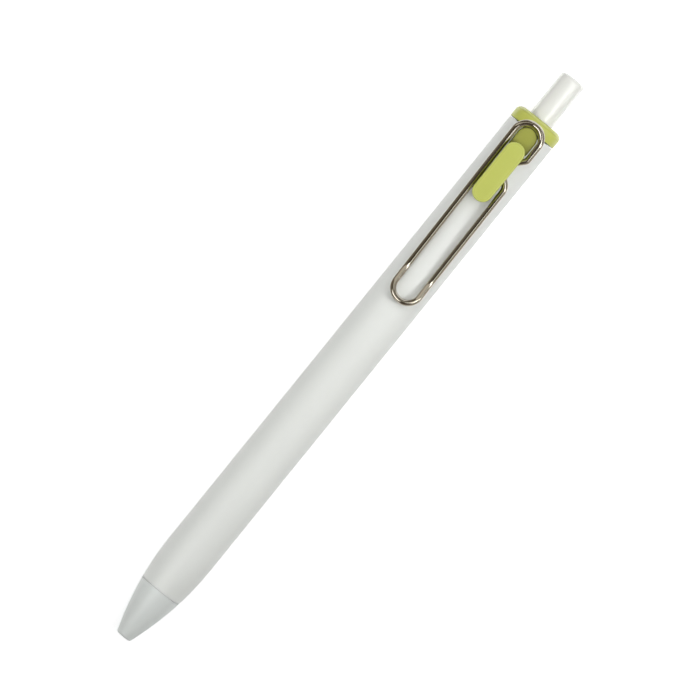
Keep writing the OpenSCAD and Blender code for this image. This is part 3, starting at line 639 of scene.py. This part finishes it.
class PEN_OT_clip_plate(bpy.types.Operator):
    """Build the clip's plate: a round-ended slab with a rounded edge and a slightly crowned top."""

    bl_idname = "pen.clip_plate"
    bl_label = "Clip plate"

    def execute(self, context):
        c, finish = context.scene.pen_clip, context.scene.pen_finishes
        low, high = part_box("clip_plate")
        middle = -(low.y + high.y) / 2
        width, lower_edge = c.plate_half_width, 0.12 * MM
        outline = rounded([(0.0, c.plate_under, 0.0), (width, c.plate_under, lower_edge),
                           (width, c.plate_top, c.plate_rounding), (0.0, c.plate_top, 0.0)], steps=10)
        rise = np.linspace(1, 0, 8)[1:, None] * outline[-2, 0]
        profile = np.concatenate([outline[:-1], np.concatenate([rise, rise * 0 + c.plate_top], 1)])
        profile[:, 1] -= np.where(profile[:, 1] > c.plate_top - c.plate_rounding,
                                  c.plate_crown * (profile[:, 0] / width) ** 2, 0)
        grid = slab_grid(c.plate_front, c.plate_rear, middle, profile)
        edge_wear_and_highlight = edge_wear_and_highlight_of(profile, grid.shape[1], (width - 0.1 * MM, c.plate_top - 0.1 * MM))
        pegs = [self.peg_grid(z, c) for z in (c.plate_front + 3.6 * MM, c.plate_rear - 2.2 * MM)]
        no_edge_wear_or_highlight = np.zeros((sum(p[..., 0].size for p in pegs), 1))
        add_piece("clip_plate_slab", [grid, *pegs], "barrel",
                  moulded_plastic("semi_gloss_lime_abs_plate", finish.plate, roughness=0.34, grain_mm=0.18,
                                  depth_mm=0.003, edge_lightening=0.4),
                  ["clip_plate"], close_rows=False, attributes={"edge_wear_and_highlight": np.concatenate([edge_wear_and_highlight, no_edge_wear_or_highlight])})
        return {"FINISHED"}

    def peg_grid(self, z, c):
        """Peg under the plate at a station: the profile point (r, h) at angle a becomes
        (z + r sin a, middle + r cos a, h), from the middle of its end up into the plate."""
        middle, peg, edge = -0.79 * MM, 0.55 * MM, 0.1 * MM
        end, inside = c.plate_under - 1.5 * MM, c.plate_under + edge
        profile = rounded([(0.0, end, 0.0), (peg, end, edge), (peg, inside, 0.0), (0.0, inside, 0.0)])
        angle = np.linspace(0, 2 * np.pi, 32, endpoint=False)
        r, h = profile[:, :1], profile[:, 1:]
        return np.stack([z + r * np.sin(angle), middle + r * np.cos(angle), h + 0 * angle], -1)


class PEN_OT_clip_wire(bpy.types.Operator):
    """Bend the clip's wire: a round section carried along a path of straights and arcs."""

    bl_idname = "pen.clip_wire"
    bl_label = "Clip wire"

    def execute(self, context):
        finish, c = context.scene.pen_finishes, context.scene.pen_clip
        path = rounded(self.route(), steps=22, guard=0.15 * MM)
        grid, straight = wire_along(path, np.array([0.0, 0.0, -1.0]), c.wire_radius, c.wire_sides)
        add_piece("clip_wire_bent", [grid], "clip",
                  drawn_metal("nickel_plated_drawn_wire", finish.wire, roughness=0.07, line_mm=0.12,
                              depth_mm=0.001),
                  ["clip_wire"], close_rows=False, attributes={"straight": straight.reshape(-1, 3)})
        return {"FINISHED"}

    def route(self):
        """Corners of the wire's centre line: z, x, h and bend radius. It starts under the plate, goes round
        the bow, down the left leg, round the loop and up the right leg, and ends under the plate. The
        right leg rises as the left one does."""
        high, low, raised = 6.75, 5.55, 6.6  # h under the plate, where the clip grips, and at the loop
        hook, bow, knee, loop = 0.85, 2.9, 12.0, 2.8
        in_mm = [
            (119.06, 1.02, high, 0.0), (121.15, 2.92, high, hook), (127.55, 2.92, high, bow),
            (127.55, -2.95, high, bow), (117.6, -2.88, high, knee), (91.35, -2.49, low, knee),
            (84.8, -2.34, raised, loop), (84.8, 3.38, raised, loop), (91.35, 3.23, low, knee),
            (114.55, 3.005, 6.6106, 2.4), (116.2, 1.005, 6.686, 0.0)]
        return [tuple(v * MM for v in corner) for corner in in_mm]


class PEN_OT_return_spring(bpy.types.Operator):
    """Wind the return spring: a helix whose end turns lie closed."""

    bl_idname = "pen.return_spring"
    bl_label = "Return spring"

    def execute(self, context):
        finish = context.scene.pen_finishes
        wire, coil_radius, turns, steps = 0.175 * MM, 2.075 * MM, 12, 40
        front, back = station("return_spring", 0), station("return_spring", 1)
        closed = 2 * wire * 1.05  # rise of an end turn, which all but touches the next one
        t = np.linspace(0, turns, turns * steps + 1)
        length = back - front - 2 * wire
        pitch = (length - 2 * closed) / (turns - 2)
        lift = np.where(t < 1, closed * t,
                        np.where(t > turns - 1, length - closed * (turns - t), closed + pitch * (t - 1)))
        angle = 2 * np.pi * t
        path = np.stack([front + wire + lift, coil_radius * np.cos(angle), -coil_radius * np.sin(angle)],
                        -1)
        across = np.stack([0 * t, np.cos(angle), -np.sin(angle)], -1)
        grid, straight = wire_along(path, across, wire, 12)
        spring = add_piece(
            "return_spring_coil", [grid], "spring",
            drawn_metal("drawn_stainless_spring_wire", finish.spring, roughness=0.24, line_mm=0.06,
                        depth_mm=0.001),
            ["return_spring"], close_rows=False, attributes={"straight": straight.reshape(-1, 3)})
        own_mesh(spring)
        return {"FINISHED"}


class PEN_OT_solid_finishes(bpy.types.Operator):
    """Give the pieces that keep their solid's shape their materials: boss, refill and click parts."""

    bl_idname = "pen.solid_finishes"
    bl_label = "Boss, refill and click parts"

    def execute(self, context):
        finish = context.scene.pen_finishes
        waxy = dict(roughness=0.24, grain_mm=0.3, depth_mm=0.001, edge_lightening=0.0)
        looks = {
            # satin ABS, painted darker than the plate's lime as the shade of the wire and plate, with more
            # painted shade where the plate overhangs it
            "clip_base": moulded_plastic("satin_moulded_abs_boss", finish.boss, roughness=0.4,
                                         grain_mm=0.18, depth_mm=0.003, edge_lightening=0.0, shade_reach_mm=2.5),
            # acetal and polypropylene: waxy and slippery, so they shine a little without paint
            "cam_plunger": moulded_plastic("waxy_acetal_white", linear("ECECEA"), **waxy),
            "cam_rotor": moulded_plastic("waxy_acetal_grey", linear("606264"), **waxy),
            "cam_sleeve": moulded_plastic("waxy_acetal_natural", linear("DEDFDC"), **waxy),
            "refill_tip_holder": moulded_plastic("moulded_polypropylene_white", linear("EDEEEC"), **waxy),
            "refill_tail_plug": moulded_plastic("moulded_polypropylene_grey", linear("55575A"), **waxy),
            # gel ink behind the tube's wall: black and wet
            "ink_column": moulded_plastic("wet_black_gel_ink", linear("0C0C10"), roughness=0.15,
                                          grain_mm=0.5, depth_mm=0.001, edge_lightening=0.0),
            "refill_tube": clear_plastic("extruded_polypropylene_tube", linear("EDF1F2"),
                                         roughness=0.22, transmission=0.85),
            "ink_follower": clear_plastic("follower_grease", linear("EFE9CF"),
                                          roughness=0.2, transmission=0.6),
        }
        # turned nickel silver is a warm grey, and carbide and steel are cooler
        for node, look, tint, roughness, line_mm, depth_mm in (
            ("refill_tip", "turned_nickel_silver", "C9C3B4", 0.25, 0.15, 0.002),
            ("writing_ball", "ground_tungsten_carbide", "8E8F92", 0.2, 0.1, 0.001),
            ("check_ball", "polished_stainless_ball", "B4B5B7", 0.15, 0.1, 0.001),
            ("ball_spring", "fine_stainless_wire", "C4C5C6", 0.24, 0.06, 0.001),
        ):
            looks[node] = drawn_metal(look, linear(tint), roughness, line_mm, depth_mm, along=None)
        for node, material in looks.items():
            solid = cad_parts[node]
            solid.data.materials.clear()
            solid.data.materials.append(material)
        return {"FINISHED"}


# ---------- studio ----------


class PEN_OT_studio(bpy.types.Operator):
    """Set up the white table, the lamps, the cards that the metal reflects, and the camera."""

    bl_idname = "pen.studio"
    bl_label = "Studio"

    def execute(self, context):
        self.table()
        self.cards()
        self.lamps()
        self.world()
        self.camera()
        context.scene.view_settings.view_transform = "Standard"
        return {"FINISHED"}

    def flat_sheet(self, name, middle, facing, width, length, material):
        """A rectangle about a middle point that faces a direction, with its length along the pen."""
        facing = Vector(facing).normalized()
        along = Vector((1, 0, 0))
        side = facing.cross(along)
        corners = [Vector(middle) + along * (a * length / 2) + side * (b * width / 2)
                   for a, b in ((-1, -1), (1, -1), (1, 1), (-1, 1))]
        mesh = bpy.data.meshes.new(name)
        mesh.from_pydata(corners, [], [(0, 1, 2, 3)])
        mesh.materials.append(material)
        sheet = add_object(name, mesh)
        return sheet

    def seen_straight(self, tree):
        """1 for rays from the camera, reflections and clear plastic, and 0 for the light on surfaces."""
        ray = add_node(tree, "ShaderNodeLightPath").outputs
        seen = add_node(tree, "ShaderNodeMath", {0: ray["Is Camera Ray"], 1: ray["Is Glossy Ray"]},
                        operation="MAXIMUM")
        return add_node(tree, "ShaderNodeMath", {0: seen.outputs[0], 1: ray["Is Transmission Ray"]},
                        operation="MAXIMUM").outputs[0]

    def table(self):
        """White table that keeps a soft shadow of the pen and is white where nothing shades it."""
        near_glow, far_glow, reflectance, width = 0.5, 1.0, 0.86, 12.0
        material, tree = start_material("matt_white_table")
        glow = add_node(tree, "ShaderNodeMath", {0: self.seen_straight(tree), 1: near_glow},
                        operation="MULTIPLY")
        # the lamps fall off away from the pen, so for the camera the table glows more there
        place = add_node(tree, "ShaderNodeTexCoord").outputs["Object"]
        away = add_node(tree, "ShaderNodeVectorMath", {0: place}, operation="LENGTH")
        more = add_node(tree, "ShaderNodeMapRange", {
            "Value": away.outputs["Value"], "From Min": 0.2, "From Max": 0.8,
            "To Min": near_glow, "To Max": far_glow})
        by_camera = add_node(tree, "ShaderNodeLightPath").outputs["Is Camera Ray"]
        more = add_node(tree, "ShaderNodeMath", {0: more.outputs["Result"], 1: by_camera},
                        operation="MULTIPLY")
        glow = add_node(tree, "ShaderNodeMath", {0: glow.outputs[0], 1: more.outputs[0]},
                        operation="MAXIMUM")
        paint = add_node(tree, "ShaderNodeBsdfDiffuse", {"Color": opaque([reflectance] * 3)})
        light = add_node(tree, "ShaderNodeEmission", {"Strength": glow.outputs[0]})
        both = add_node(tree, "ShaderNodeAddShader", {0: paint.outputs[0], 1: light.outputs[0]})
        add_node(tree, "ShaderNodeOutputMaterial", {"Surface": both.outputs[0]})
        self.flat_sheet("table", (0, 0, 0), (0, 0, 1), width, width, material)

    def cards(self):
        """Cards round the pen that only reflections see: a band of dark felt over the clip draws the
        metal's dark lines, and the screens on both sides of it draw its bright ones. Each row gives the
        name, colour and strength, the degrees right of overhead where it starts and stops, its distance,
        and where it starts and stops along the pen."""
        for name, tint, strength, start, stop, reach, low, high in (
            ("grey_wall_left", "8A8479", 1.0, -92.0, -62.0, 0.9, -3.0, 1.5),
            ("dark_felt_left", "5E5649", 1.0, -62.0, -30.0, 0.9, -3.0, 1.5),
            ("dark_felt_overhead", "4E463A", 1.0, -30.0, 42.0, 0.9, -3.0, 1.5),
            ("pale_card_left", "D4CEC2", 1.0, -66.0, -30.0, 0.86, 0.17, 0.42),
            ("pale_card_overhead", "D4CEC2", 1.0, -30.0, 22.0, 0.86, 0.18, 0.42),
            ("screen_over_nose", "FFFFFB", 3.0, -34.0, 4.0, 0.85, -0.55, -0.18),
            ("screen_over_clip", "FFFFFB", 3.4, 6.0, 24.0, 0.84, 0.09, 0.2),
            ("screen_right_of_legs", "FFFFFB", 1.9, 25.0, 37.0, 0.85, -0.1, 0.0),
            ("screen_right", "FFFFFB", 2.0, 25.0, 38.0, 0.85, 0.0, 0.075),
            ("screen_right_of_button", "FFFFFB", 4.0, 24.0, 37.0, 0.85, 0.075, 0.2),
            ("pale_card_right", "FFFFFB", 0.7, 22.0, 42.0, 0.85, 0.2, 0.9),
            ("screen_right_of_knees", "FFFFFB", 3.2, 42.0, 64.0, 0.86, 0.12, 0.232),
            ("grey_wall_right", "7D776C", 1.0, 42.0, 66.0, 0.9, -3.0, 1.5),
            ("pale_wall_right", "B3ADA2", 1.0, 66.0, 92.0, 0.9, -3.0, 1.5),
        ):
            middle = np.radians((start + stop) / 2)
            out = Vector((0, -np.sin(middle), np.cos(middle)))
            width = 2 * reach * np.tan(np.radians((stop - start) / 2))
            self.card(name, tint, strength, out * reach + Vector(((low + high) / 2, 0, 0)), -out, width,
                      high - low)
        # felt on the table on both sides of the pen
        aside, above, width, length = 0.47, 0.4 * MM, 0.9, 1.8
        for name, tint, side in (("felt_on_table_left", "6A6255", aside),
                                 ("felt_on_table_right", "B9B3A9", -aside)):
            self.card(name, tint, 1.0, (0.0, side, above), (0, 0, 1), width, length)

    def card(self, name, tint, strength, middle, facing, width, length):
        """One evenly glowing card that nothing but reflections sees."""
        material, tree = start_material(f"glowing_{name}")
        glow = add_node(tree, "ShaderNodeEmission", {"Color": opaque(linear(tint)), "Strength": strength})
        add_node(tree, "ShaderNodeOutputMaterial", {"Surface": glow.outputs[0]})
        card = self.flat_sheet(name, middle, facing, width, length, material)
        card.visible_camera = card.visible_diffuse = card.visible_shadow = False
        card.visible_transmission = card.visible_volume_scatter = False

    def lamps(self):
        """Broad lamps round the pen and a smaller one right of the clip, which set the soft shading;
        the cards stand in for them in reflections. Each row gives the name, the degrees right of
        overhead, the distance, the place along the pen, the width and the power."""
        for name, degrees, reach, along, width, power in (
            ("window_left", -60.0, 0.8, -0.3, 0.6, 2.44),
            ("lamp_over_nose", -20.0, 0.6, -0.4, 0.5, 0.32),
            ("softbox_over_clip", 0.0, 0.3, 0.1, 0.3, 0.63),
            ("softbox_right", 45.0, 0.35, 0.1, 0.12, 0.53),
            ("lamp_over_button", 0.0, 0.5, 0.5, 0.3, 0.46),
        ):
            data = bpy.data.lights.new(name, "AREA")
            data.shape = "RECTANGLE"
            data.size = data.size_y = width
            data.energy = power
            lamp = add_object(name, data)
            out = Vector((0, -np.sin(np.radians(degrees)), np.cos(np.radians(degrees)))) * reach
            lamp.location = out + Vector((along, 0, 0))
            lamp.rotation_euler = (-out).to_track_quat("-Z", "X").to_euler()
            lamp.visible_camera = lamp.visible_glossy = False

    def world(self):
        """White surroundings for the camera and for reflections, plain grey light for the rest."""
        fill_light = 0.06
        world = bpy.data.worlds.new("studio_surroundings")
        world.use_nodes = True
        tree = world.node_tree
        tree.nodes.clear()
        strength = add_node(tree, "ShaderNodeMapRange", {
            "Value": self.seen_straight(tree), "To Min": fill_light, "To Max": 1.0})
        back = add_node(tree, "ShaderNodeBackground", {
            "Color": opaque((1, 1, 1)), "Strength": strength.outputs["Result"]})
        add_node(tree, "ShaderNodeOutputWorld", {"Surface": back.outputs[0]})
        bpy.context.scene.world = world

    def camera(self):
        """Camera nearly straight above the pen, turned so that the pen stands at 51 degrees."""
        data = bpy.data.cameras.new("camera")
        data.lens, data.sensor_width = 347.6, 36.0
        data.clip_start, data.clip_end = 0.05, 20.0
        camera = add_object("camera", data)
        height = 1.315
        place = Vector((26.65 * MM, 0.0, AXIS_Z + height))
        target = Vector((1.4 * MM, 0.75 * MM, AXIS_Z))
        back = (place - target).normalized()
        right = Vector((0.6292, -0.7772, 0.0))
        right = (right - right.dot(back) * back).normalized()
        up = back.cross(right)
        turned = Matrix((right, up, back)).transposed().to_4x4()
        turned.translation = place
        camera.matrix_world = turned
        bpy.context.scene.camera = camera


class PEN_PT_sidebar(bpy.types.Panel):
    """The pen's sizes, colours and building steps."""

    bl_idname = "PEN_PT_sidebar"
    bl_label = "Gel pen"
    bl_space_type = "VIEW_3D"
    bl_region_type = "UI"
    bl_category = "Gel pen"

    def draw(self, context):
        for group in (context.scene.pen_shell, context.scene.pen_clip, context.scene.pen_finishes):
            box = self.layout.box()
            for key in group.__annotations__:
                box.prop(group, key)
        for step in STEPS:
            self.layout.operator(step.bl_idname)


GROUPS = {"pen_shell": PenShellSizes, "pen_clip": PenClipSizes, "pen_finishes": PenFinishes}
STEPS = (PEN_OT_studio, PEN_OT_barrel, PEN_OT_nose_cone, PEN_OT_crown_ring, PEN_OT_push_button,
         PEN_OT_clip_plate, PEN_OT_clip_wire, PEN_OT_return_spring, PEN_OT_solid_finishes)


def register():
    for made in (*GROUPS.values(), *STEPS, PEN_PT_sidebar):
        bpy.utils.register_class(made)
    for key, group in GROUPS.items():
        setattr(bpy.types.Scene, key, PointerProperty(type=group))


def unregister():
    for key in GROUPS:
        delattr(bpy.types.Scene, key)
    for made in (PEN_PT_sidebar, *reversed(STEPS), *GROUPS.values()):
        bpy.utils.unregister_class(made)


def main():
    """Builds everything."""
    register()
    bpy.ops.pen.studio()
    bpy.ops.pen.barrel()
    bpy.ops.pen.nose_cone()
    bpy.ops.pen.crown_ring()
    bpy.ops.pen.push_button()
    bpy.ops.pen.clip_plate()
    bpy.ops.pen.clip_wire()
    bpy.ops.pen.return_spring()
    bpy.ops.pen.solid_finishes()


if __name__ == "__main__":
    main()
